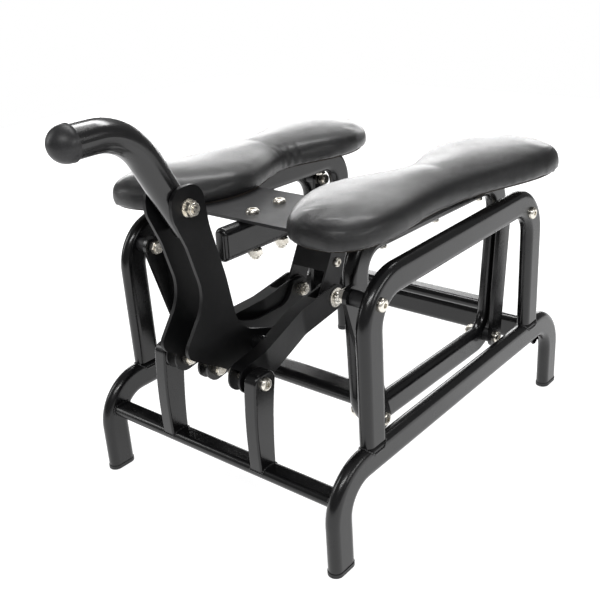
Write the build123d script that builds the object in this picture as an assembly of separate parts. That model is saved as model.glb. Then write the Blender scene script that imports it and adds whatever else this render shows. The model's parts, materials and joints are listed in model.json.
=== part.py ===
from build123d import *
import math
import os

# Gliding straddle seat: a welded tube base, a padded seat carriage that swings on four links,
# and a front lever with a curved handle that the seat drives through two drop links.
# Millimetres. +Z is up, -Y is the front (the handle end), X is the width; the floor is Z = 0.

# The Y sizes below start at the middle of the base; saved pieces move by this, which puts the
# origin under the middle of the whole
centre_shift = 66.6

# Tube and plate stock
rail_depth, rail_thick, tube_wall = 40.0, 20.0, 1.5
small_depth, small_thick = 30.0, 15.0
plate_gauge, link_gauge, lever_gauge = 4.0, 6.0, 5.0
channel_gauge = 3.0

# Base
side_spacing = 410.0
leg_front_y, leg_rear_y = -274.0, 291.0
rail_z, bend_radius = 124.0, 55.0
post_front_y, post_rear_y, top_rail_z = -200.0, 211.0, 343.0
front_tube_y, front_tube_z = -265.0, 94.0
rear_tube_y, rear_tube_z = 265.0, 100.0
upright_x, upright_top, upright_bow = 80.0, 231.0, 3.5
upright_head, upright_foot = (-276.0, -237.0), (-279.5, -251.0)
foot_high, foot_wall, foot_lip = 6.0, 2.0, 0.8

# Swing links, in rest position
link_length, link_width, link_x = 200.0, 30.0, 172.5
pivot_drop, pivot_inset_front, pivot_inset_rear = 19.0, 12.0, 19.0
front_lean = 16.4
lower_pivot_gap = 301.0

# Seat carriage, measured level before it takes its rest tilt
seat_tilt = -1.305
hoop_spacing = 294.0
hoop_low_front, hoop_low_rear = (-138.0, 124.0), (189.0, 126.0)
hoop_top_front, hoop_top_rear = (-152.0, 372.0), (213.0, 372.0)
hoop_radius = 45.0
seat_front_tube_y, seat_front_tube_z = -130.0, 155.0
seat_rear_tube_y, seat_rear_tube_z = 199.0, 169.0
plate_front_y, plate_rear_y = -195.0, -71.0
beam_front_y, beam_rear_y, beam_depth = -222.0, 20.0, 45.0
plate_bolt_ys = (-167.0, -114.5)
pad_screw_ys = (-90.0, 35.0, 155.0)
board_thick, pad_thick, pad_clear = 6.0, 30.0, 0.3
pad_round, pad_inset = 22.0, 7.0

# Lever, drop links and handle
pivot_y, pivot_z = -260.0, 217.0
drop_low_y, drop_low_z = -54.0, 245.0
drop_top_y, drop_top_z = 1.0, 352.0
drop_low_radius, drop_top_radius = 20.0, 15.0
drop_wall, web_low, web_high, clamp_at = 3.0, 31.0, 72.0, 48.0
handle_od, handle_wall = 38.0, 2.0
arm_width, arm_height = 20.0, 38.0
arm_x, joggle_start, joggle_end, mouth_length = 56.0, 35.0, 135.0, 40.0
mid_half, mid_height = 9.0, 34.0
cross_y, cross_z, cross_od = -200.0, 232.0, 22.0
handle_bolt_y, handle_bolt_z = -292.0, 440.0
handle_corner_y, handle_top_z, handle_tip_y = -348.5, 541.5, -445.0
handle_radius, handle_low = 75.0, 58.0
cap_skirt, cap_wall = 7.0, 1.5

# Hardware
bolt_od, bolt_head_od, bolt_head_high = 10.0, 17.5, 5.5
nut_flat, nut_high = 17.0, 10.0
washer_od, washer_high = 20.0, 1.5
screw_head_od, screw_head_high = 10.5, 3.3
clamp_od, clamp_head_od, clamp_nut = 8.0, 14.0, 13.0
running = 0.05
seat_fit = 0.2
gap = 0.3
drop_open, link_open = 4.5, 1.1
ring_od = 28.0

side_x = side_spacing / 2
hoop_x = hoop_spacing / 2
side_inner = side_x - rail_thick / 2
side_outer = side_x + rail_thick / 2
hoop_inner = hoop_x - rail_thick / 2
hoop_outer = hoop_x + rail_thick / 2
link_inner = link_x - link_gauge / 2
link_outer = link_x + link_gauge / 2
bolt_hole = bolt_od / 2 + running
fixed_hole = bolt_od / 2 + seat_fit
lever_half = handle_od / 2 + gap
upper_z = top_rail_z - pivot_drop
upper_front_y = post_front_y + pivot_inset_front
upper_rear_y = post_rear_y - pivot_inset_rear
lean = math.radians(front_lean)
lower_front = (upper_front_y + link_length * math.sin(lean), upper_z - link_length * math.cos(lean))

os.makedirs("parts", exist_ok=True)


def save(name, *solids):
    """Write one named piece, or one group of like pieces, centred along the machine."""
    moved = [solid.moved(Location((0, centre_shift, 0))) for solid in solids]
    shape = moved[0] if len(moved) == 1 else Compound(children=moved)
    export_step(shape, f"parts/{name}.step")


def in_side(x, y, z):
    """Frame at (x, y, z) whose drawing plane is the side view: local x is +Y, local y is +Z."""
    return Plane(origin=(x, y, z), x_dir=(0, 1, 0), z_dir=(1, 0, 0))


def side_slab(outline, x_low, x_high):
    """Extrude a side-view face (y, z) from x_low to x_high."""
    return extrude(in_side(x_low, 0, 0) * outline, x_high - x_low)


def rod(y, z, x_low, x_high, radius):
    """Round bar along X."""
    return side_slab(Pos(y, z) * Circle(radius), x_low, x_high)


def oval(depth, thick):
    return SlotOverall(depth, thick)


def oval_tube_section(depth, thick, wall=tube_wall):
    return oval(depth, thick) - oval(depth - 2 * wall, thick - 2 * wall)


def bent_tube(points, radius, x):
    """Flat-oval tube whose centre line runs through (y, z) points in one side view."""
    path = FilletPolyline(*[(x, y, z) for y, z in points], radius=radius)
    start = Plane(origin=path @ 0, x_dir=(1, 0, 0), z_dir=path % 0)
    return sweep(start * Rot(0, 0, 90) * oval_tube_section(rail_depth, rail_thick), path=path)


def cross_tube(y, z, x_half, depth, thick, upright=False):
    """Flat-oval tube across the machine."""
    section = oval_tube_section(depth, thick)
    if upright:
        section = Rot(0, 0, 90) * section
    return side_slab(Pos(y, z) * section, -x_half, x_half)


def mirror_x(shape):
    return mirror(shape, about=Plane.YZ)


def bolt(y, z, head_x, tip_x, od=bolt_od, head_od=bolt_head_od):
    """Button-head bolt along X, its head under-face at head_x and its end at tip_x."""
    out = 1 if head_x > tip_x else -1
    high = head_od * bolt_head_high / bolt_head_od
    shank = rod(y, z, min(head_x, tip_x), max(head_x, tip_x), od / 2)
    head = Cylinder(head_od / 2, high, align=(Align.CENTER, Align.CENTER, Align.MIN))
    head = fillet(head.edges().group_by(Axis.Z)[-1], high * 0.75)
    socket = extrude(Plane.XY.offset(high) * RegularPolygon(od * 0.35, 6), -high * 0.5)
    place = Plane(origin=(head_x, y, z), x_dir=(0, 1, 0), z_dir=(out, 0, 0))
    return shank + place * (head - socket)


def nut(y, z, x_low, od=bolt_od, flat=nut_flat):
    """Hexagon lock nut along X, with its rounded collar on the far side."""
    high = nut_high * flat / nut_flat
    body = extrude(RegularPolygon(flat / 2, 6, major_radius=False), high * 0.72)
    collar = Pos(0, 0, high * 0.72) * Cylinder(
        flat / 2 - 0.8, high * 0.28, align=(Align.CENTER, Align.CENTER, Align.MIN))
    collar = fillet(collar.edges().group_by(Axis.Z)[-1], 1.0)
    solid = body + collar - Cylinder(od / 2, 3 * nut_high)
    out = 1 if x_low >= 0 else -1
    return Plane(origin=(x_low, y, z), x_dir=(0, 1, 0), z_dir=(out, 0, 0)) * solid


def washer(y, z, x_low, x_high, outer=washer_od / 2, inner=bolt_od / 2 + seat_fit):
    return rod(y, z, x_low, x_high, outer) - rod(y, z, x_low, x_high, inner)


def tilt(shape):
    """Turn a level seat piece to its rest tilt about the front lower pivot."""
    pivot = Axis((0, lower_front[0], lower_front[1]), (1, 0, 0))
    return shape.rotate(pivot, seat_tilt)


def tilted_point(y, z):
    turn = math.radians(seat_tilt)
    dy, dz = y - lower_front[0], z - lower_front[1]
    return (lower_front[0] + dy * math.cos(turn) - dz * math.sin(turn),
            lower_front[1] + dy * math.sin(turn) + dz * math.cos(turn))


lower_rear = tilted_point(lower_front[0] + lower_pivot_gap, lower_front[1])


def both(name, right):
    save(name + "_right", right)
    save(name + "_left", mirror_x(right))


def four(pairs):
    """Mirror each right-hand solid to the left and return all of them."""
    return list(pairs) + [mirror_x(one) for one in pairs]


# Base frame
def make_base():
    rail = bent_tube([(leg_front_y, 0), (leg_front_y, rail_z), (leg_rear_y, rail_z), (leg_rear_y, 0)],
                     bend_radius, side_x)
    both("base_rail", rail - Pos(side_x, 0, 0) * Box(3 * rail_thick, 2000, 2 * foot_wall))

    post_low = rail_z + rail_thick
    hoop = bent_tube([(post_front_y, post_low), (post_front_y, top_rail_z),
                      (post_rear_y, top_rail_z), (post_rear_y, post_low)], bend_radius, side_x)
    for y in (upper_front_y, upper_rear_y):
        hoop -= rod(y, upper_z, side_inner - 5, side_outer + 5, fixed_hole)
    both("base_hoop", hoop)

    save("base_front_tube", cross_tube(front_tube_y, front_tube_z, side_inner, small_depth, small_thick))
    save("base_rear_tube", cross_tube(rear_tube_y, rear_tube_z, side_inner, rail_depth, rail_thick, True))

    feet = []
    for y in (leg_front_y, leg_rear_y):
        spot = Pos(side_x, y) * Rot(0, 0, 90)
        foot = extrude(spot * oval(rail_depth + 2 * foot_lip, rail_thick + 2 * foot_lip), foot_high)
        foot = fillet(foot.edges().group_by(Axis.Z)[0], foot_wall * 0.6)
        foot -= extrude(Plane.XY.offset(foot_wall) * spot * oval(rail_depth, rail_thick), foot_high)
        feet.append(foot)
    save("foot_caps", *four(feet))


def make_uprights():
    low_z = front_tube_z
    mid_z = (low_z + upright_top) / 2

    def filled(inset):
        (front, rear), (front_low, rear_low) = upright_head, upright_foot
        edges = [Line((rear_low - inset, low_z + inset), (front_low + inset, low_z + inset)),
                 ThreePointArc((front_low + inset, low_z + inset),
                               ((front + front_low) / 2 + inset - upright_bow, mid_z),
                               (front + inset, upright_top - inset)),
                 Line((front + inset, upright_top - inset), (rear - inset, upright_top - inset)),
                 ThreePointArc((rear - inset, upright_top - inset),
                               ((rear + rear_low) / 2 - inset - upright_bow, mid_z),
                               (rear_low - inset, low_z + inset))]
        face = make_face(edges)
        tops = [v for v in face.vertices() if v.Y > mid_z]
        half = rail_thick / 2 - inset
        slab = side_slab(fillet(tops, 13 - inset), upright_x - half, upright_x + half)
        return fillet(slab.edges().filter_by(Axis.X, reverse=True), 3 - inset)

    upright = filled(0) - filled(tube_wall)
    upright -= side_slab(Pos(front_tube_y, front_tube_z) * oval(small_depth, small_thick),
                         upright_x - 20, upright_x + 20)
    upright -= rod(pivot_y, pivot_z, 0, 200, fixed_hole)
    both("upright", upright)

    inner, outer = upright_x - rail_thick / 2, upright_x + rail_thick / 2
    arm_inner, arm_outer = arm_x - arm_width / 2, arm_x + arm_width / 2
    nut_face = arm_inner - gap - washer_high
    save("arm_pivot_bolts", *four([bolt(pivot_y, pivot_z, outer, nut_face - nut_high - 2)]))
    save("arm_pivot_nuts", *four([mirror_nut(nut(pivot_y, pivot_z, 0), nut_face)]))
    save("arm_pivot_spacers", *four([washer(pivot_y, pivot_z, arm_outer + gap, inner),
                                     washer(pivot_y, pivot_z, nut_face, nut_face + washer_high)]))


# Swing links
def bar_between(a, b, width, gauge, x):
    """Flat bar with round ends whose eyes are at the side-view points a and b."""
    length = math.dist(a, b)
    angle = math.degrees(math.atan2(b[1] - a[1], b[0] - a[0]))
    middle = ((a[0] + b[0]) / 2, (a[1] + b[1]) / 2)
    face = Pos(*middle) * Rot(0, 0, angle) * SlotCenterToCenter(length, width)
    return side_slab(face, x - gauge / 2, x + gauge / 2)


def make_links():
    ends = {"front": ((upper_front_y, upper_z), lower_front), "rear": ((upper_rear_y, upper_z), lower_rear)}
    for name, (top, low) in ends.items():
        link = bar_between(top, low, link_width, link_gauge, link_x)
        low_hole = bolt_hole + (link_open if name == "rear" else 0)
        link -= rod(*top, link_inner - 5, link_outer + 5, bolt_hole)
        link -= rod(*low, link_inner - 5, link_outer + 5, low_hole)
        both(name + "_link", link)

    bolts, nuts, spacers = [], [], []
    for y in (upper_front_y, upper_rear_y):
        nut_face = link_inner - washer_high - gap
        bolts.append(bolt(y, upper_z, side_outer, nut_face - nut_high))
        nuts.append(mirror_nut(nut(y, upper_z, 0), nut_face))
        spacers.append(washer(y, upper_z, link_outer + gap, side_inner, washer_od / 2))
        spacers.append(washer(y, upper_z, nut_face, link_inner - gap))
    save("link_top_bolts", *four(bolts))
    save("link_top_nuts", *four(nuts))
    save("link_top_spacers", *four(spacers))


def mirror_nut(solid, x_face):
    """Place a nut that was made at x = 0 with its seat at x_face, its collar pointing inwards."""
    return Pos(x_face, 0, 0) * mirror_x(solid)


# Seat carriage
def make_seat():
    low_mid = tuple((a + b) / 2 for a, b in zip(hoop_low_front, hoop_low_rear))
    top_mid = tuple((a + b) / 2 for a, b in zip(hoop_top_front, hoop_top_rear))
    front = bent_tube([low_mid, hoop_low_front, hoop_top_front, top_mid], hoop_radius, hoop_x)
    rear = bent_tube([top_mid, hoop_top_rear, hoop_low_rear, low_mid], hoop_radius, hoop_x)
    hoop = tilt(front + rear)
    for y, z in (lower_front, lower_rear):
        hoop -= rod(y, z, hoop_inner - 5, hoop_outer + 5, fixed_hole)
    both("seat_hoop", hoop)

    save("seat_front_tube", tilt(cross_tube(seat_front_tube_y, seat_front_tube_z, hoop_inner,
                                            rail_depth, rail_thick)))
    save("seat_rear_tube", tilt(cross_tube(seat_rear_tube_y, seat_rear_tube_z, hoop_inner,
                                           small_depth, small_thick)))

    deck_z = hoop_top_front[1] + rail_depth / 2
    plate_mid = (plate_front_y + plate_rear_y) / 2
    plate_half = hoop_x - math.sqrt(plate_gauge * (rail_thick - plate_gauge)) - 0.15
    plate = Pos(0, plate_mid, deck_z - plate_gauge / 2) * Box(
        2 * plate_half, plate_rear_y - plate_front_y, plate_gauge)
    beam_z = deck_z - plate_gauge - beam_depth / 2
    beam_plane = Plane(origin=(0, beam_rear_y, beam_z), x_dir=(1, 0, 0), z_dir=(0, -1, 0))
    beam = extrude(beam_plane * Rot(0, 0, 90) * oval_tube_section(beam_depth, rail_thick),
                   beam_rear_y - beam_front_y)
    plug_plane = Plane(origin=(0, beam_front_y, beam_z), x_dir=(1, 0, 0), z_dir=(0, -1, 0))
    plug = extrude(plug_plane * Rot(0, 0, 90) * oval(beam_depth, rail_thick), 8)
    plug = fillet(plug.edges().group_by(Axis.Y)[0], 6)
    bolts, nuts = [], []
    for y in plate_bolt_ys:
        hole = Pos(0, y, deck_z - 30) * Cylinder(fixed_hole, 90)
        plate -= hole
        beam -= hole
        flat = bolt(0, 0, 0, -(plate_gauge + beam_depth + nut_high + 3))
        bolts.append(tilt(Pos(0, y, deck_z) * flat.rotate(Axis.Y, -90)))
        hexagon = nut(0, 0, 0).rotate(Axis.Y, 90)
        nuts.append(tilt(Pos(0, y, deck_z - plate_gauge - beam_depth) * hexagon))
    save("centre_plate", tilt(plate))
    save("centre_beam", tilt(beam) - rod(drop_top_y, drop_top_z, -50, 50, fixed_hole))
    save("beam_end_plug", tilt(plug))
    save("plate_bolts", *bolts)
    save("plate_nuts", *nuts)
    make_pads(deck_z)
    make_seat_pivots()


def pad_outline(inset):
    """Hourglass outline of the right pad in plan, drawn in by inset."""
    points = [(152, -246), (199, -229), (216, -186), (212, -110), (206, -30), (219, 60), (244, 154),
              (232, 229), (159, 259), (99, 223), (73, 156), (85, 86), (100, 24), (82, -36), (61, -108),
              (81, -188)]
    drawn = []
    for i, (x, y) in enumerate(points):
        (xa, ya), (xb, yb) = points[i - 1], points[(i + 1) % len(points)]
        run = math.dist((xa, ya), (xb, yb))
        drawn.append((x - inset * (yb - ya) / run, y + inset * (xb - xa) / run))
    return make_face(Spline(*drawn, periodic=True))


def make_pads(deck_z):
    board = extrude(Plane.XY.offset(deck_z) * pad_outline(pad_inset), board_thick)
    pad_low = deck_z + board_thick + pad_clear
    pad = extrude(Plane.XY.offset(pad_low) * pad_outline(0), pad_thick)
    pad = fillet(pad.edges().group_by(Axis.Z)[-1], pad_round)
    screws = []
    for y in pad_screw_ys:
        head = Pos(hoop_x, y, deck_z - rail_depth - 0.15) * Cylinder(
            screw_head_od / 2, screw_head_high, align=(Align.CENTER, Align.CENTER, Align.MAX))
        screws.append(tilt(fillet(head.edges().group_by(Axis.Z)[0], 1.5)))
    both("pad_board", tilt(board))
    both("pad", tilt(pad))
    save("pad_screws", *four(screws))


def make_seat_pivots():
    bolts, nuts, spacers = [], [], []
    for y, z in (lower_front, lower_rear):
        bolts.append(bolt(y, z, link_outer + gap, hoop_inner - nut_high - 2))
        nuts.append(mirror_nut(nut(y, z, 0), hoop_inner))
        spacers.append(washer(y, z, hoop_outer, link_inner - gap))
    save("link_low_bolts", *four(bolts))
    save("link_low_nuts", *four(nuts))
    save("link_low_spacers", *four(spacers))

    wall_face = drop_half + gap
    rear = [bolt(drop_top_y, drop_top_z, -wall_face, wall_face + nut_high + 2)]
    save("drop_top_bolt", *rear)
    save("drop_top_nut", nut(drop_top_y, drop_top_z, wall_face))
    inner = washer(drop_top_y, drop_top_z, rail_thick / 2, drop_half - drop_wall - gap, washer_od / 2)
    save("drop_top_spacers", *four([inner]))


# Drop link
lever_outer = lever_half + lever_gauge
arm_low_x = lever_outer + arm_width / 2
drop_half = lever_outer + channel_gauge + 0.7 + drop_wall
arm_low, arm_high, drop_top = (pivot_y, pivot_z), (drop_low_y, drop_low_z), (drop_top_y, drop_top_z)


def make_drop_link():
    length = math.dist(arm_high, drop_top)
    lean_angle = math.degrees(math.atan2(drop_top_y - drop_low_y, drop_top_z - drop_low_z))

    def cheek(inset):
        ends = (Circle(drop_low_radius - inset).edges()
                + (Pos(0, length) * Circle(drop_top_radius - inset)).edges())
        return Pos(*arm_high) * Rot(0, 0, -lean_angle) * make_hull(ends)

    band = Pos(*arm_high) * Rot(0, 0, -lean_angle) * Pos(-30, (web_low + web_high) / 2) * Rectangle(
        60, web_high - web_low)
    web = side_slab((cheek(0) - cheek(drop_wall)) & band, -drop_half, drop_half)
    cheeks = side_slab(cheek(0), drop_half - drop_wall, drop_half)
    link = web + cheeks + mirror_x(cheeks)
    link -= rod(*drop_top, -99, 99, bolt_hole)
    link -= rod(*arm_high, -99, 99, bolt_hole + drop_open)
    share = clamp_at / length
    clamp = (drop_low_y + share * (drop_top_y - drop_low_y), drop_low_z + share * (drop_top_z - drop_low_z))
    link -= rod(*clamp, -99, 99, clamp_od / 2 + seat_fit)
    save("drop_link", link)
    face = drop_half - drop_wall
    save("drop_link_bolts", *four([bolt(*clamp, drop_half, face - 9, clamp_od, clamp_head_od)]))
    save("drop_link_nuts", *four([mirror_nut(nut(*clamp, 0, clamp_od, clamp_nut), face)]))


# Lever
def lever_outline():
    """Side view of the J-shaped lever plates."""
    corners = [(-317, 466, 22), (-267.5, 466, 22), (-262, 412, 80), (-243, 340, 150), (-229, 262, 48),
               (-152, 233, 70), (-84, 233, 28), (-67, 261, 8), (-38, 261, 15), (-38, 233.5, 14),
               (-150, 196, 110), (-240, 206, 60), (-325, 261, 15), (-280, 322, 55), (-300, 393, 60),
               (-317, 432, 30)]
    path = FilletPolyline(*[(y, z) for y, z, r in corners], radius=[r for y, z, r in corners], close=True)
    return make_face(path)


def make_lever():
    plate = side_slab(lever_outline(), lever_half, lever_outer)
    plate -= rod(handle_bolt_y, handle_bolt_z, 0, 60, fixed_hole)
    plate -= rod(cross_y, cross_z, 0, 60, cross_od / 2)
    plate -= rod(*arm_high, 0, 60, fixed_hole)
    both("lever_plate", plate)


def sloped(shape):
    """Lay an arm drawn along +Y from the origin onto the line of the lever arms."""
    angle = math.degrees(math.atan2(drop_low_z - pivot_z, drop_low_y - pivot_y))
    return Pos(0, pivot_y, pivot_z) * Rot(angle, 0, 0) * shape


def make_arms():
    length = math.dist(arm_low, arm_high)

    def strip(half):
        a, b = joggle_start, joggle_end
        points = [(arm_x - half, -40), (arm_x + half, -40), (arm_x + half, a), (arm_low_x + half, b),
                  (arm_low_x + half, length + 40), (arm_low_x - half, length + 40),
                  (arm_low_x - half, b), (arm_x - half, a)]
        face = make_face(Polyline(*points, close=True))
        bends = [v for v in face.vertices() if 0 < v.Y < length]
        return fillet(bends, 30)

    slot = SlotCenterToCenter(length, arm_height)
    outer = side_slab(Pos(length / 2, 0) * slot, 0, 100) & extrude(
        Plane.XY.offset(-60) * strip(arm_width / 2), 120)
    hollow = extrude(Plane.XY.offset(-60) * strip(arm_width / 2 - channel_gauge),
                     60 + arm_height / 2 - channel_gauge)
    mouth = Pos(0, length, 0) * Box(400, 2 * mouth_length, 2 * arm_height)
    hollow += mouth & extrude(Plane.XY.offset(-60) * strip(arm_width / 2 - channel_gauge), 120)
    arm = sloped(outer - hollow)
    arm -= rod(*arm_low, 0, 200, bolt_hole)
    arm -= rod(*arm_high, 0, 200, fixed_hole)
    share = (cross_y - pivot_y - joggle_start) / (joggle_end - joggle_start)
    flange = arm_x - (arm_x - arm_low_x) * share - arm_width / 2
    arm -= rod(cross_y, cross_z, flange - 6, flange + channel_gauge + 3, cross_od / 2)
    both("arm", arm)

    ring = Circle(cross_od / 2) - Circle(cross_od / 2 - 2)
    save("lever_cross_tube", side_slab(Pos(cross_y, cross_z) * ring, -flange - 2, flange + 2))

    mid_length = math.dist(arm_low, (cross_y, cross_z))
    mid_slot = SlotCenterToCenter(mid_length, mid_height)
    mid = side_slab(Pos(mid_length / 2, 0) * mid_slot, -mid_half, mid_half)
    hollow = Pos(0, mid_length / 2, -channel_gauge) * Box(2 * (mid_half - channel_gauge), 2 * mid_length, mid_height)
    mid = sloped(mid - hollow)
    mid -= rod(*arm_low, -60, 60, fixed_hole)
    mid -= rod(cross_y, cross_z, -60, 60, cross_od / 2)
    save("lever_mid_channel", mid)
    save("mid_bolt", bolt(*arm_low, -mid_half, mid_half + nut_high))
    save("mid_nut", nut(*arm_low, mid_half))

    ring_face = lever_outer + arm_width
    save("arm_rear_bolts", *four([bolt(*arm_high, ring_face + washer_high, lever_half - nut_high - 2)]))
    save("arm_rear_nuts", *four([mirror_nut(nut(*arm_high, 0), lever_half)]))
    save("arm_rear_rings", *four([washer(*arm_high, ring_face, ring_face + washer_high, ring_od / 2)]))


def make_handle():
    rise = math.atan2(handle_top_z - handle_bolt_z, handle_bolt_y - handle_corner_y)
    low_y = handle_bolt_y + handle_low * math.cos(rise)
    low_z = handle_bolt_z - handle_low * math.sin(rise)
    end_y = handle_tip_y + handle_od / 2 + cap_wall
    path = FilletPolyline((0, low_y, low_z), (0, handle_corner_y, handle_top_z), (0, end_y, handle_top_z),
                          radius=handle_radius)
    start = Plane(origin=path @ 0, x_dir=(1, 0, 0), z_dir=path % 0)
    tube = sweep(start * (Circle(handle_od / 2) - Circle(handle_od / 2 - handle_wall)), path=path)
    tube = tube & (Pos(0, low_y, low_z) * Rot(28, 0, 0) * Pos(0, 0, 500 + 22) * Box(900, 1500, 1000))
    tube -= rod(handle_bolt_y, handle_bolt_z, -60, 60, fixed_hole)
    save("handle_tube", tube)

    radius = handle_od / 2
    place = Plane(origin=(0, end_y, handle_top_z), x_dir=(1, 0, 0), z_dir=(0, -1, 0))
    outer = Sphere(radius + cap_wall) + Cylinder(
        radius + cap_wall, cap_skirt, align=(Align.CENTER, Align.CENTER, Align.MAX))
    bore = Cylinder(radius, 3 * cap_skirt, align=(Align.CENTER, Align.CENTER, Align.MAX))
    save("handle_cap", place * (outer - bore))

    seat = lever_outer + washer_high
    save("handle_bolt", bolt(handle_bolt_y, handle_bolt_z, -seat, seat + nut_high + 2))
    save("handle_nut", nut(handle_bolt_y, handle_bolt_z, seat))
    save("handle_washers", *four([washer(handle_bolt_y, handle_bolt_z, lever_outer, seat, 11)]))


make_base()
make_uprights()
make_links()
make_seat()
make_drop_link()
make_lever()
make_arms()
make_handle()
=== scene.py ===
import json
import math

import bmesh
import bpy
from mathutils import Matrix, Vector


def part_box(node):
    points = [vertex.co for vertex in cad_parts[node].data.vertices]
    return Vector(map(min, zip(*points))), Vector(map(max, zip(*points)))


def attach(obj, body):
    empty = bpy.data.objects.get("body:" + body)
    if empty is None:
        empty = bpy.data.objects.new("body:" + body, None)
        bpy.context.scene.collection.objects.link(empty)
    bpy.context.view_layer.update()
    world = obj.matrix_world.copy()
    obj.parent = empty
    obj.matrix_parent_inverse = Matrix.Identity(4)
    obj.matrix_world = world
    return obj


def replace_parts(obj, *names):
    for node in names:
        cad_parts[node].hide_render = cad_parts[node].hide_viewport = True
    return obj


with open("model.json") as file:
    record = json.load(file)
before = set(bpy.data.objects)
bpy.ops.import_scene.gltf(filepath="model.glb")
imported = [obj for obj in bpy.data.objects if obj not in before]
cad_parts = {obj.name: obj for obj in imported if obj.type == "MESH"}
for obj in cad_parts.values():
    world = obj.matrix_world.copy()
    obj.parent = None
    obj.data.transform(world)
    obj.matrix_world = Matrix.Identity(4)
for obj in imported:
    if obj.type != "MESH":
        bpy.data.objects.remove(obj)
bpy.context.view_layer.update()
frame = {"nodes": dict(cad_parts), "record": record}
nodes = frame["nodes"]
scene = bpy.context.scene
print("frame loaded", len(nodes), "nodes")

# camera, standing at the front right of the seat
cameraSetup = {
    "place": (0.7569, -0.8928, 0.7440),
    "azimuth": 40.714, "height": 23.462, "roll": -3.778,
    "lens": 53.99, "sensor": 36.0, "near": 0.02, "far": 60,
}


def makeCamera(setup):
    turn, lift = math.radians(setup["azimuth"]), math.radians(setup["height"])
    roll = math.radians(setup["roll"])
    back = Vector((math.sin(turn) * math.cos(lift), -math.cos(turn) * math.cos(lift),
                   math.sin(lift)))
    right = Vector((math.cos(turn), math.sin(turn), 0))
    up = right.cross(-back)
    side = math.cos(roll) * right + math.sin(roll) * up
    top = -math.sin(roll) * right + math.cos(roll) * up
    data = bpy.data.cameras.new("camera")
    data.lens, data.sensor_width = setup["lens"], setup["sensor"]
    data.clip_start, data.clip_end = setup["near"], setup["far"]
    camera = bpy.data.objects.new("camera", data)
    turned = Matrix((side, top, back)).transposed().to_4x4()
    camera.matrix_world = Matrix.Translation(setup["place"]) @ turned
    scene.collection.objects.link(camera)
    scene.camera = camera


makeCamera(cameraSetup)

# studio: white all round, soft lamps, a floor that keeps the shadow
studio = {
    "floorSize": 5, "floorColour": (0.42, 0.42, 0.425, 1), "floorLift": 0.87,
    "floorRoughness": 0.85, "floorShine": 0.2,
    "fill": 0.24, "mirrorWhite": 0.2, "floorMirror": 0.95,
}
lamps = [
    # name, place, size, power, aimed at
    ("backdrop", (-1.75, 2.12, 0.75), (3.2, 0.8), 44, (0, 0.1, 0.4)),
    ("overhead", (-0.25, 0.82, 1.9), (1.6, 0.3), 24, (0, 0.05, 0.3)),
    ("front", (-1.7, -1.08, 1.15), (0.4, 1.2), 8, (0, -0.1, 0.3)),
    ("side", (1.85, 0.22, 1.0), (1.3, 0.3), 7, (0.1, 0, 0.25)),
    ("key", (1.0, -1.38, 1.9), (1.5, 0.2), 19, (0.1, -0.05, 0.3)),
]


def makeLamp(name, place, size, power, target):
    data = bpy.data.lights.new(name, "AREA")
    data.shape, data.size, data.size_y = "RECTANGLE", size[0], size[1]
    data.energy = power
    lamp = bpy.data.objects.new(name, data)
    lamp.location = place
    lamp.visible_camera = False
    aim = Vector(target) - Vector(place)
    lamp.rotation_euler = aim.to_track_quat("-Z", "Y").to_euler()
    scene.collection.objects.link(lamp)


def makeStudio(setup):
    world = bpy.data.worlds.new("studio")
    scene.world = world
    world.use_nodes = True
    tree = world.node_tree
    tree.nodes.clear()
    out = tree.nodes.new("ShaderNodeOutputWorld")
    plain, seen, rays = (tree.nodes.new(n) for n in
                         ("ShaderNodeBackground", "ShaderNodeBackground", "ShaderNodeLightPath"))
    glossy = tree.nodes.new("ShaderNodeBackground")
    plain.inputs["Strength"].default_value = setup["fill"]
    glossy.inputs["Strength"].default_value = setup["mirrorWhite"]
    for node in (plain, glossy, seen):
        node.inputs["Color"].default_value = (1, 1, 1, 1)
    first = tree.nodes.new("ShaderNodeMixShader")
    second = tree.nodes.new("ShaderNodeMixShader")
    either = tree.nodes.new("ShaderNodeMath")
    either.operation = "MAXIMUM"
    tree.links.new(rays.outputs["Is Glossy Ray"], first.inputs[0])
    tree.links.new(plain.outputs[0], first.inputs[1])
    tree.links.new(glossy.outputs[0], first.inputs[2])
    tree.links.new(rays.outputs["Is Camera Ray"], either.inputs[0])
    tree.links.new(rays.outputs["Is Transmission Ray"], either.inputs[1])
    tree.links.new(either.outputs[0], second.inputs[0])
    tree.links.new(first.outputs[0], second.inputs[1])
    tree.links.new(seen.outputs[0], second.inputs[2])
    tree.links.new(second.outputs[0], out.inputs["Surface"])

    grid = bmesh.new()
    bmesh.ops.create_grid(grid, x_segments=2, y_segments=2, size=setup["floorSize"] / 2)
    mesh = bpy.data.meshes.new("floor")
    grid.to_mesh(mesh)
    grid.free()
    floor = bpy.data.objects.new("floor", mesh)
    scene.collection.objects.link(floor)
    paper = bpy.data.materials.new("paper")
    paper.use_nodes = True
    tree = paper.node_tree
    shader = tree.nodes["Principled BSDF"]
    shader.inputs["Base Color"].default_value = setup["floorColour"]
    shader.inputs["Roughness"].default_value = setup["floorRoughness"]
    shader.inputs["Specular IOR Level"].default_value = setup["floorShine"]
    shader.inputs["Emission Color"].default_value = (1, 1, 1, 1)
    rays = tree.nodes.new("ShaderNodeLightPath")
    lift = tree.nodes.new("ShaderNodeMath")
    lift.operation = "MULTIPLY"
    lift.inputs[1].default_value = setup["floorLift"]
    mirror = tree.nodes.new("ShaderNodeMath")
    mirror.operation = "MULTIPLY_ADD"
    mirror.inputs[1].default_value = setup["floorMirror"]
    tree.links.new(rays.outputs["Is Camera Ray"], lift.inputs[0])
    tree.links.new(rays.outputs["Is Glossy Ray"], mirror.inputs[0])
    tree.links.new(lift.outputs[0], mirror.inputs[2])
    tree.links.new(mirror.outputs[0], shader.inputs["Emission Strength"])
    mesh.materials.append(paper)


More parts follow.
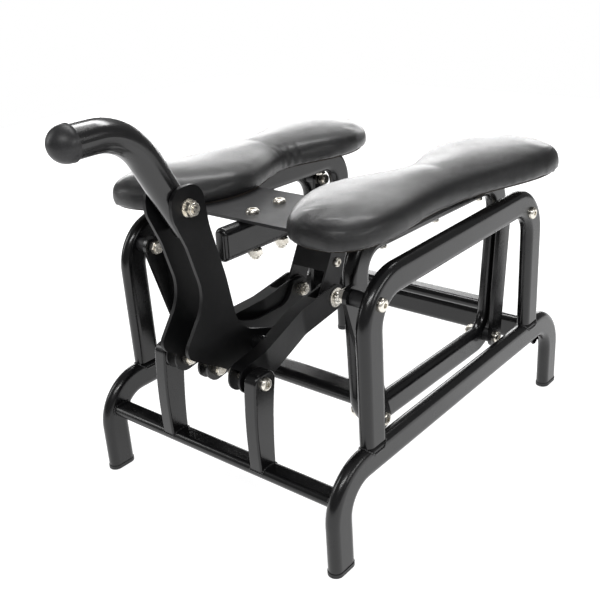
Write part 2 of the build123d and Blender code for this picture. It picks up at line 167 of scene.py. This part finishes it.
makeStudio(studio)
for lamp in lamps:
    makeLamp(*lamp)
scene.view_settings.view_transform = "Standard"
print("studio ready")


# finishes
def startFinish(name, colour, roughness, metallic=0.0, specular=0.5):
    finish = bpy.data.materials.new(name)
    finish.use_nodes = True
    tree = finish.node_tree
    shader = tree.nodes["Principled BSDF"]
    shader.inputs["Base Color"].default_value = (*colour, 1)
    shader.inputs["Roughness"].default_value = roughness
    shader.inputs["Metallic"].default_value = metallic
    shader.inputs["Specular IOR Level"].default_value = specular
    place = tree.nodes.new("ShaderNodeTexCoord")
    return finish, tree, shader, place.outputs["Object"]


def addNoise(tree, place, scale, detail=3.0, rough=0.5):
    noise = tree.nodes.new("ShaderNodeTexNoise")
    noise.inputs["Scale"].default_value = scale
    noise.inputs["Detail"].default_value = detail
    noise.inputs["Roughness"].default_value = rough
    tree.links.new(place, noise.inputs["Vector"])
    return noise.outputs["Fac"]


def addRange(tree, value, low, high, fromLow=0.3, fromHigh=0.7):
    span = tree.nodes.new("ShaderNodeMapRange")
    span.inputs["From Min"].default_value = fromLow
    span.inputs["From Max"].default_value = fromHigh
    span.inputs["To Min"].default_value, span.inputs["To Max"].default_value = low, high
    tree.links.new(value, span.inputs["Value"])
    return span.outputs["Result"]


def addBump(tree, shader, heights, distance, strength=1.0):
    bump = tree.nodes.new("ShaderNodeBump")
    bump.inputs["Distance"].default_value = distance
    bump.inputs["Strength"].default_value = strength
    tree.links.new(heights, bump.inputs["Height"])
    if shader.inputs["Normal"].is_linked:
        tree.links.new(shader.inputs["Normal"].links[0].from_socket, bump.inputs["Normal"])
    tree.links.new(bump.outputs["Normal"], shader.inputs["Normal"])


def addSheen(tree, shader, place, scale, low, high):
    spread = addRange(tree, addNoise(tree, place, scale, 5), low, high)
    tree.links.new(spread, shader.inputs["Roughness"])


def addTint(tree, shader, value, dark, light):
    blend = tree.nodes.new("ShaderNodeMix")
    blend.data_type = "RGBA"
    blend.inputs["A"].default_value, blend.inputs["B"].default_value = (*dark, 1), (*light, 1)
    tree.links.new(value, blend.inputs["Factor"])
    tree.links.new(blend.outputs["Result"], shader.inputs["Base Color"])


def powderCoat(name, roughness, grain, colour, specular):
    finish, tree, shader, place = startFinish(name, colour, roughness, specular=specular)
    broad = addNoise(tree, place, 14, 4)
    fine = addNoise(tree, place, 900, 2)
    tree.links.new(addRange(tree, broad, roughness - 0.05, roughness + 0.07),
                   shader.inputs["Roughness"])
    dust = addNoise(tree, place, 46, 6, 0.65)
    dusty = tuple(c * 1.9 for c in colour)
    addTint(tree, shader, addRange(tree, dust, 0, 1, 0.5, 0.8), colour, dusty)
    addBump(tree, shader, fine, 0.00012, grain)
    addBump(tree, shader, addNoise(tree, place, 170, 2), 0.00025, grain * 0.5)
    return finish


def glossTube():
    finish, tree, shader, place = startFinish("handleGloss", (0.006, 0.006, 0.0065), 0.22)
    shader.inputs["Coat Weight"].default_value = 0.35
    shader.inputs["Coat Roughness"].default_value = 0.12
    addSheen(tree, shader, place, 30, 0.18, 0.3)
    addBump(tree, shader, addNoise(tree, place, 220, 2), 0.00015, 0.3)
    return finish


def gripRubber():
    finish, tree, shader, place = startFinish("gripRubber", (0.018, 0.018, 0.019), 0.42)
    addSheen(tree, shader, place, 60, 0.36, 0.52)
    speck = addNoise(tree, place, 420, 4, 0.7)
    addTint(tree, shader, addRange(tree, speck, 0, 1, 0.45, 0.75), (0.016, 0.016, 0.017),
            (0.03, 0.03, 0.032))
    addBump(tree, shader, addNoise(tree, place, 1500, 2), 0.0001, 0.6)
    return finish


def zincPlate():
    finish, tree, shader, place = startFinish("zincHardware", (0.8, 0.77, 0.7), 0.3, metallic=1)
    addSheen(tree, shader, place, 260, 0.2, 0.42)
    stain = addNoise(tree, place, 120, 6, 0.7)
    addTint(tree, shader, addRange(tree, stain, 0, 1, 0.4, 0.75), (0.86, 0.83, 0.76),
            (0.6, 0.55, 0.46))
    addBump(tree, shader, addNoise(tree, place, 1800, 2), 0.00008, 0.5)
    return finish


def mouldedPlastic(name="mouldedPlastic", colour=(0.01, 0.01, 0.011)):
    finish, tree, shader, place = startFinish(name, colour, 0.5)
    addSheen(tree, shader, place, 80, 0.42, 0.6)
    addBump(tree, shader, addNoise(tree, place, 2200, 2), 0.0001, 0.5)
    return finish


def pressedBoard():
    finish, tree, shader, place = startFinish("boardPly", (0.03, 0.025, 0.02), 0.8)
    stretch = tree.nodes.new("ShaderNodeMapping")
    stretch.inputs["Scale"].default_value = (1, 0.08, 1)
    tree.links.new(place, stretch.inputs["Vector"])
    grain = addNoise(tree, stretch.outputs["Vector"], 260, 6, 0.6)
    addTint(tree, shader, addRange(tree, grain, 0, 1), (0.018, 0.014, 0.011),
            (0.05, 0.038, 0.028))
    addBump(tree, shader, grain, 0.0003, 0.6)
    return finish


def seatVinyl():
    finish, tree, shader, place = startFinish("seatVinyl", (0.007, 0.007, 0.0075), 0.34)
    shader.inputs["Coat Weight"].default_value = 0.15
    shader.inputs["Coat Roughness"].default_value = 0.22
    addSheen(tree, shader, place, 22, 0.3, 0.4)
    cells = tree.nodes.new("ShaderNodeTexVoronoi")
    cells.feature = "DISTANCE_TO_EDGE"
    cells.inputs["Scale"].default_value = 720
    cells.inputs["Randomness"].default_value = 1.0
    warp = tree.nodes.new("ShaderNodeTexNoise")
    warp.inputs["Scale"].default_value = 300
    tree.links.new(place, warp.inputs["Vector"])
    add = tree.nodes.new("ShaderNodeVectorMath")
    add.operation = "MULTIPLY_ADD"
    add.inputs[1].default_value = (0.0015, 0.0015, 0.0015)
    tree.links.new(warp.outputs["Color"], add.inputs[0])
    tree.links.new(place, add.inputs[2])
    tree.links.new(add.outputs["Vector"], cells.inputs["Vector"])
    grain = addRange(tree, cells.outputs["Distance"], 0, 1, 0.0, 0.25)
    addBump(tree, shader, grain, 0.00022, 0.55)
    addBump(tree, shader, addNoise(tree, place, 40, 2), 0.0006, 0.12)
    return finish


coat = powderCoat("frameCoat", 0.23, 0.35, (0.0055, 0.0055, 0.006), 0.5)
# a rougher satin version of the frame's black powder coat. Its black and its shine are turned
# down further as painted shade, because the lever plates and arms sit in the frame's shade
shadedPlateCoat = powderCoat("shadedPlateCoat", 0.4, 0.6, (0.004, 0.004, 0.0045), 0.3)
deckCoat = powderCoat("deckCoat", 0.45, 0.7, (0.02, 0.02, 0.021), 0.5)
bushing = mouldedPlastic("bushingPlastic", (0.008, 0.008, 0.009))
finishes = {
    "black_powder_coat": coat, "gloss_black_tube": glossTube(), "grip_rubber": gripRubber(),
    "black_plastic": mouldedPlastic(), "pad_board": pressedBoard(), "black_vinyl": seatVinyl(),
    "zinc_hardware": zincPlate(),
}
# pieces whose finish isn't their slot's own
own = {
    "beam_end_plug": coat, "centre_plate": deckCoat, "drop_link": deckCoat,
    "link_top_spacers": bushing, "link_low_spacers": bushing, "arm_pivot_spacers": bushing,
}
# the lever plates and arms take the coat darkened with painted shade
for name in ("lever_plate", "arm"):
    own[name + "_left"] = own[name + "_right"] = shadedPlateCoat
for part in frame["record"]["subparts"]:
    node = nodes[part["node"]]
    finish = own.get(part["node"], finishes[part["material_slot"]])
    node.data.materials.clear()
    node.data.materials.append(finish)
print("finishes on the frame")


def keepPiece(name, mesh, body, slotName, finish=None):
    piece = bpy.data.objects.new(name, mesh)
    scene.collection.objects.link(piece)
    mesh.materials.clear()
    mesh.materials.append(finish or finishes[slotName])
    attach(piece, body)
    return piece


# pads
padSetup = {
    "voxel": 0.005, "pressure": 4.5, "frames": 20, "cap": 0.010, "share": 0.85,
    "wrap": 0.0059,  # how far the cover reaches down round the board
    "held": 0.004,  # height over the cover's lower edge that is stapled down
    "slope": 1.305,  # degrees that the pad's underside falls to the rear
    "underside": 0.004, "weld": 0.00002, "evenPasses": 14,
}
# the cover rises a little on each side of a crease
creaseShape = {"fade": 0.8, "ridge": 0.35, "ridgeAway": 2.1}
# creases: where from and to on the pad's plan, depth and half width in metres
creases = {
    "pad_left": [((-0.096, 0.0826), (-0.120, 0.0786), 0.0007, 0.0039),
                 ((-0.093, 0.0956), (-0.126, 0.0926), 0.0010, 0.0041),
                 ((-0.090, 0.1096), (-0.122, 0.1106), 0.0008, 0.0037),
                 ((-0.087, 0.1246), (-0.116, 0.1286), 0.0006, 0.0039)],
    "pad_right": [((0.095, 0.0846), (0.117, 0.0816), 0.0006, 0.0039),
                  ((0.092, 0.0996), (0.124, 0.0976), 0.0008, 0.0041),
                  ((0.089, 0.1166), (0.118, 0.1186), 0.0007, 0.0039),
                  ((0.126, -0.1394), (0.146, -0.1304), 0.0003, 0.0030)],
}


def meshFromNode(name, setup):
    low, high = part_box(name)
    slope = math.tan(math.radians(setup["slope"]))
    work = bmesh.new()
    work.from_mesh(nodes[name].data)
    bmesh.ops.remove_doubles(work, verts=work.verts, dist=setup["weld"])
    under = [v for v in work.verts
             if v.co.z - (low.z - (v.co.y - high.y) * slope) < setup["underside"]]
    bmesh.ops.translate(work, verts=under, vec=(0, 0, -setup["wrap"]))
    mesh = bpy.data.meshes.new(name + "_cover")
    work.to_mesh(mesh)
    work.free()
    return mesh


def applyModifiers(piece):
    bpy.context.view_layer.update()
    done = bpy.data.meshes.new_from_object(
        piece.evaluated_get(bpy.context.evaluated_depsgraph_get()))
    piece.modifiers.clear()
    old, piece.data = piece.data, done
    bpy.data.meshes.remove(old)


def swellPad(name, setup):
    low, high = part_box(name)
    piece = bpy.data.objects.new(name + "_cover", meshFromNode(name, setup))
    scene.collection.objects.link(piece)
    remesh = piece.modifiers.new("remesh", "REMESH")
    remesh.mode, remesh.voxel_size = "VOXEL", setup["voxel"]
    applyModifiers(piece)
    slope = math.tan(math.radians(setup["slope"]))

    def heightOver(co):
        return co.z - (low.z - setup["wrap"] - (co.y - high.y) * slope)

    start = [v.co.copy() for v in piece.data.vertices]
    held = piece.vertex_groups.new(name="held")
    stapled = [v.index for v in piece.data.vertices if heightOver(v.co) < setup["held"]]
    held.add(stapled, 1, "ADD")
    cloth = piece.modifiers.new("cloth", "CLOTH")
    cloth.settings.use_pressure = True
    cloth.settings.uniform_pressure_force = setup["pressure"]
    cloth.settings.effector_weights.gravity = 0
    cloth.settings.vertex_group_mass = "held"
    cloth.point_cache.frame_start, cloth.point_cache.frame_end = 1, setup["frames"]
    for step in range(1, setup["frames"] + 1):
        scene.frame_set(step)
    puffed = piece.evaluated_get(bpy.context.evaluated_depsgraph_get()).to_mesh()
    places = [v.co.copy() for v in puffed.vertices]
    piece.modifiers.clear()
    for vertex, was, now in zip(piece.data.vertices, start, places):
        move = now - was
        if move.length > setup["cap"]:
            move *= setup["cap"] / move.length
        vertex.co = was + move * setup["share"]
    scene.frame_set(1)
    smooth = piece.modifiers.new("even", "SMOOTH")
    smooth.factor, smooth.iterations = 0.5, setup["evenPasses"]
    finer = piece.modifiers.new("finer", "SUBSURF")
    finer.levels = finer.render_levels = 1
    applyModifiers(piece)
    work = bmesh.new()
    work.from_mesh(piece.data)
    work.normal_update()
    moves = []
    for vertex in work.verts:
        push = 0.0
        if heightOver(vertex.co) > setup["held"]:
            flat = Vector((vertex.co.x, vertex.co.y))
            for first, second, depth, half in creases[name]:
                a, b = Vector(first), Vector(second)
                t = max(0.0, min(1.0, (flat - a).dot(b - a) / (b - a).length_squared))
                away = (flat - a.lerp(b, t)).length
                fade = (1 - t) ** creaseShape["fade"]
                past = away - creaseShape["ridgeAway"] * half
                push -= depth * fade * math.exp(-(away / half) ** 2)
                push += depth * creaseShape["ridge"] * fade * math.exp(-(past / half) ** 2)
        moves.append(vertex.normal * push)
    for vertex, move in zip(work.verts, moves):
        vertex.co += move
    for face in work.faces:
        face.smooth = True
    work.to_mesh(piece.data)
    work.free()
    piece.data.materials.clear()
    piece.data.materials.append(finishes["black_vinyl"])
    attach(piece, "seat")
    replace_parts(piece, name)


for name in ("pad_left", "pad_right"):
    swellPad(name, padSetup)
print("pads filled")


# ball cap on the handle: a dome with a short rolled skirt
ballCap = {
    "tip": -0.3784, "height": 0.5415, "radius": 0.0203, "skirt": 0.0045, "lip": 0.0004,
    "lipStart": 0.0016, "lipFull": 0.001, "lipEnd": 0.0003,  # back from the skirt's edge
    "inside": 0.01905, "turnedIn": 0.002, "domeSteps": 24, "steps": 64,
}


def makeBallCap(setup):
    work = bmesh.new()
    radius, tip, high = setup["radius"], setup["tip"], setup["height"]
    centre, domeSteps = tip + radius, setup["domeSteps"]
    outline = [(0.0, tip)]
    for step in range(1, domeSteps + 1):
        turn = math.pi / 2 * step / domeSteps
        outline.append((radius * math.sin(turn), centre - radius * math.cos(turn)))
    edge = centre + setup["skirt"]
    rolled = radius + setup["lip"]
    outline += [(radius, edge - setup["lipStart"]), (rolled, edge - setup["lipFull"]),
                (rolled, edge - setup["lipEnd"]), (radius, edge), (setup["inside"], edge),
                (setup["inside"], edge - setup["turnedIn"])]
    verts = [work.verts.new((r, y, high)) for r, y in outline]
    edges = [work.edges.new(pair) for pair in zip(verts, verts[1:])]
    bmesh.ops.spin(work, geom=verts + edges, cent=(0, 0, high), axis=(0, 1, 0),
                   angle=math.tau, steps=setup["steps"], use_merge=True)
    bmesh.ops.remove_doubles(work, verts=work.verts, dist=0.00001)
    rim = [e for e in work.edges if e.is_boundary]
    bmesh.ops.holes_fill(work, edges=rim)
    bmesh.ops.recalc_face_normals(work, faces=work.faces)
    for face in work.faces:
        face.smooth = len(face.verts) < 5
    mesh = bpy.data.meshes.new("handle_ball_cap")
    work.to_mesh(mesh)
    work.free()
    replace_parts(keepPiece("handle_ball_cap", mesh, "lever", "grip_rubber"), "handle_cap")


makeBallCap(ballCap)
print("ball cap made")

# weld beads: a rippled bead along each joint line
bead = {
    "radius": 0.0016, "ripple": 0.2, "pitch": 0.0038, "step": 0.00095, "sides": 3,
    "stand": 0.0004,
}
posts = {"x": 0.205, "ys": (-0.1334, 0.2776), "railZ": 0.124, "depth": 0.040, "thick": 0.020}
# how far out the uprights' feet reach on the front tube's round edges, and points a side
footLine = {"front": 0.93, "rear": 0.9, "sideSteps": 8}


def ovalLine(depth, thick):
    half, end = (depth - thick) / 2, thick / 2
    line = []
    for centre, first in ((half, -90), (-half, 90)):
        for step in range(13):
            turn = math.radians(first + 15 * step)
            line.append((centre + end * math.cos(turn), end * math.sin(turn)))
    return line


def tubeEnds(name):
    low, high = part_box(name)
    middle, span = (low + high) / 2, high - low
    tall = span.z > span.y
    line = ovalLine(max(span.y, span.z), min(span.y, span.z))
    joints = []
    for x in (low.x + bead["stand"], high.x - bead["stand"]):
        joints.append([(x, middle.y + (v if tall else u), middle.z + (u if tall else v))
                       for u, v in line])
    return joints


def postFeet(setup):
    joints = []
    railRound = setup["thick"] / 2
    for side in (-1, 1):
        for y in setup["ys"]:
            line = []
            for u, v in ovalLine(setup["depth"], setup["thick"]):
                drop = math.sqrt(max(0, railRound ** 2 - v * v))
                line.append((side * setup["x"] + v, y + u, setup["railZ"] + railRound + drop))
            joints.append(line)
    return joints


def uprightFeet(setup):
    low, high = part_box("base_front_tube")
    middle, top = (low + high) / 2, (high.z - low.z) / 2
    flat = (high.y - low.y) / 2 - top
    joints = []
    for name in ("upright_left", "upright_right"):
        left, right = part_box(name)
        front = middle.y - flat - top * setup["front"]
        rear = middle.y + flat + top * setup["rear"]
        line = []
        corners = [(left.x, front), (right.x, front), (right.x, rear), (left.x, rear)]
        for (xa, ya), (xb, yb) in zip(corners, corners[1:] + corners[:1]):
            steps = setup["sideSteps"]
            for step in range(steps):
                x, y = xa + (xb - xa) * step / steps, ya + (yb - ya) * step / steps
                over = max(0.0, abs(y - middle.y) - flat)
                line.append((x, y, middle.z + math.sqrt(max(0.0, top * top - over * over))))
        joints.append(line)
    return joints


def evenOut(line, step):
    points = [Vector(p) for p in line] + [Vector(line[0])]
    even, left = [], 0.0
    for a, b in zip(points, points[1:]):
        length = (b - a).length
        while left < length:
            even.append(a.lerp(b, left / length))
            left += step
        left -= length
    return even


def weldBeads(name, joints, body, setup):
    curve = bpy.data.curves.new(name, "CURVE")
    curve.dimensions = "3D"
    curve.bevel_depth, curve.bevel_resolution = setup["radius"], setup["sides"]
    for line in joints:
        even = evenOut(line, setup["step"])
        spline = curve.splines.new("POLY")
        spline.points.add(len(even) - 1)
        for i, (point, place) in enumerate(zip(spline.points, even)):
            wave = math.sin(math.tau * i * setup["step"] / setup["pitch"])
            point.co = (*place, 1)
            point.radius = 1 + setup["ripple"] * wave
        spline.use_cyclic_u = True
    holder = bpy.data.objects.new(name, curve)
    scene.collection.objects.link(holder)
    bpy.context.view_layer.update()
    mesh = bpy.data.meshes.new_from_object(
        holder.evaluated_get(bpy.context.evaluated_depsgraph_get()))
    bpy.data.objects.remove(holder)
    for face in mesh.polygons:
        face.use_smooth = True
    return keepPiece(name, mesh, body, "black_powder_coat")


weldBeads("base_welds", tubeEnds("base_front_tube") + tubeEnds("base_rear_tube") + postFeet(posts)
          + uprightFeet(footLine), "base", bead)
weldBeads("seat_welds", tubeEnds("seat_front_tube") + tubeEnds("seat_rear_tube"), "seat", bead)
weldBeads("lever_welds", tubeEnds("lever_cross_tube"), "lever", bead)
print("welds laid")
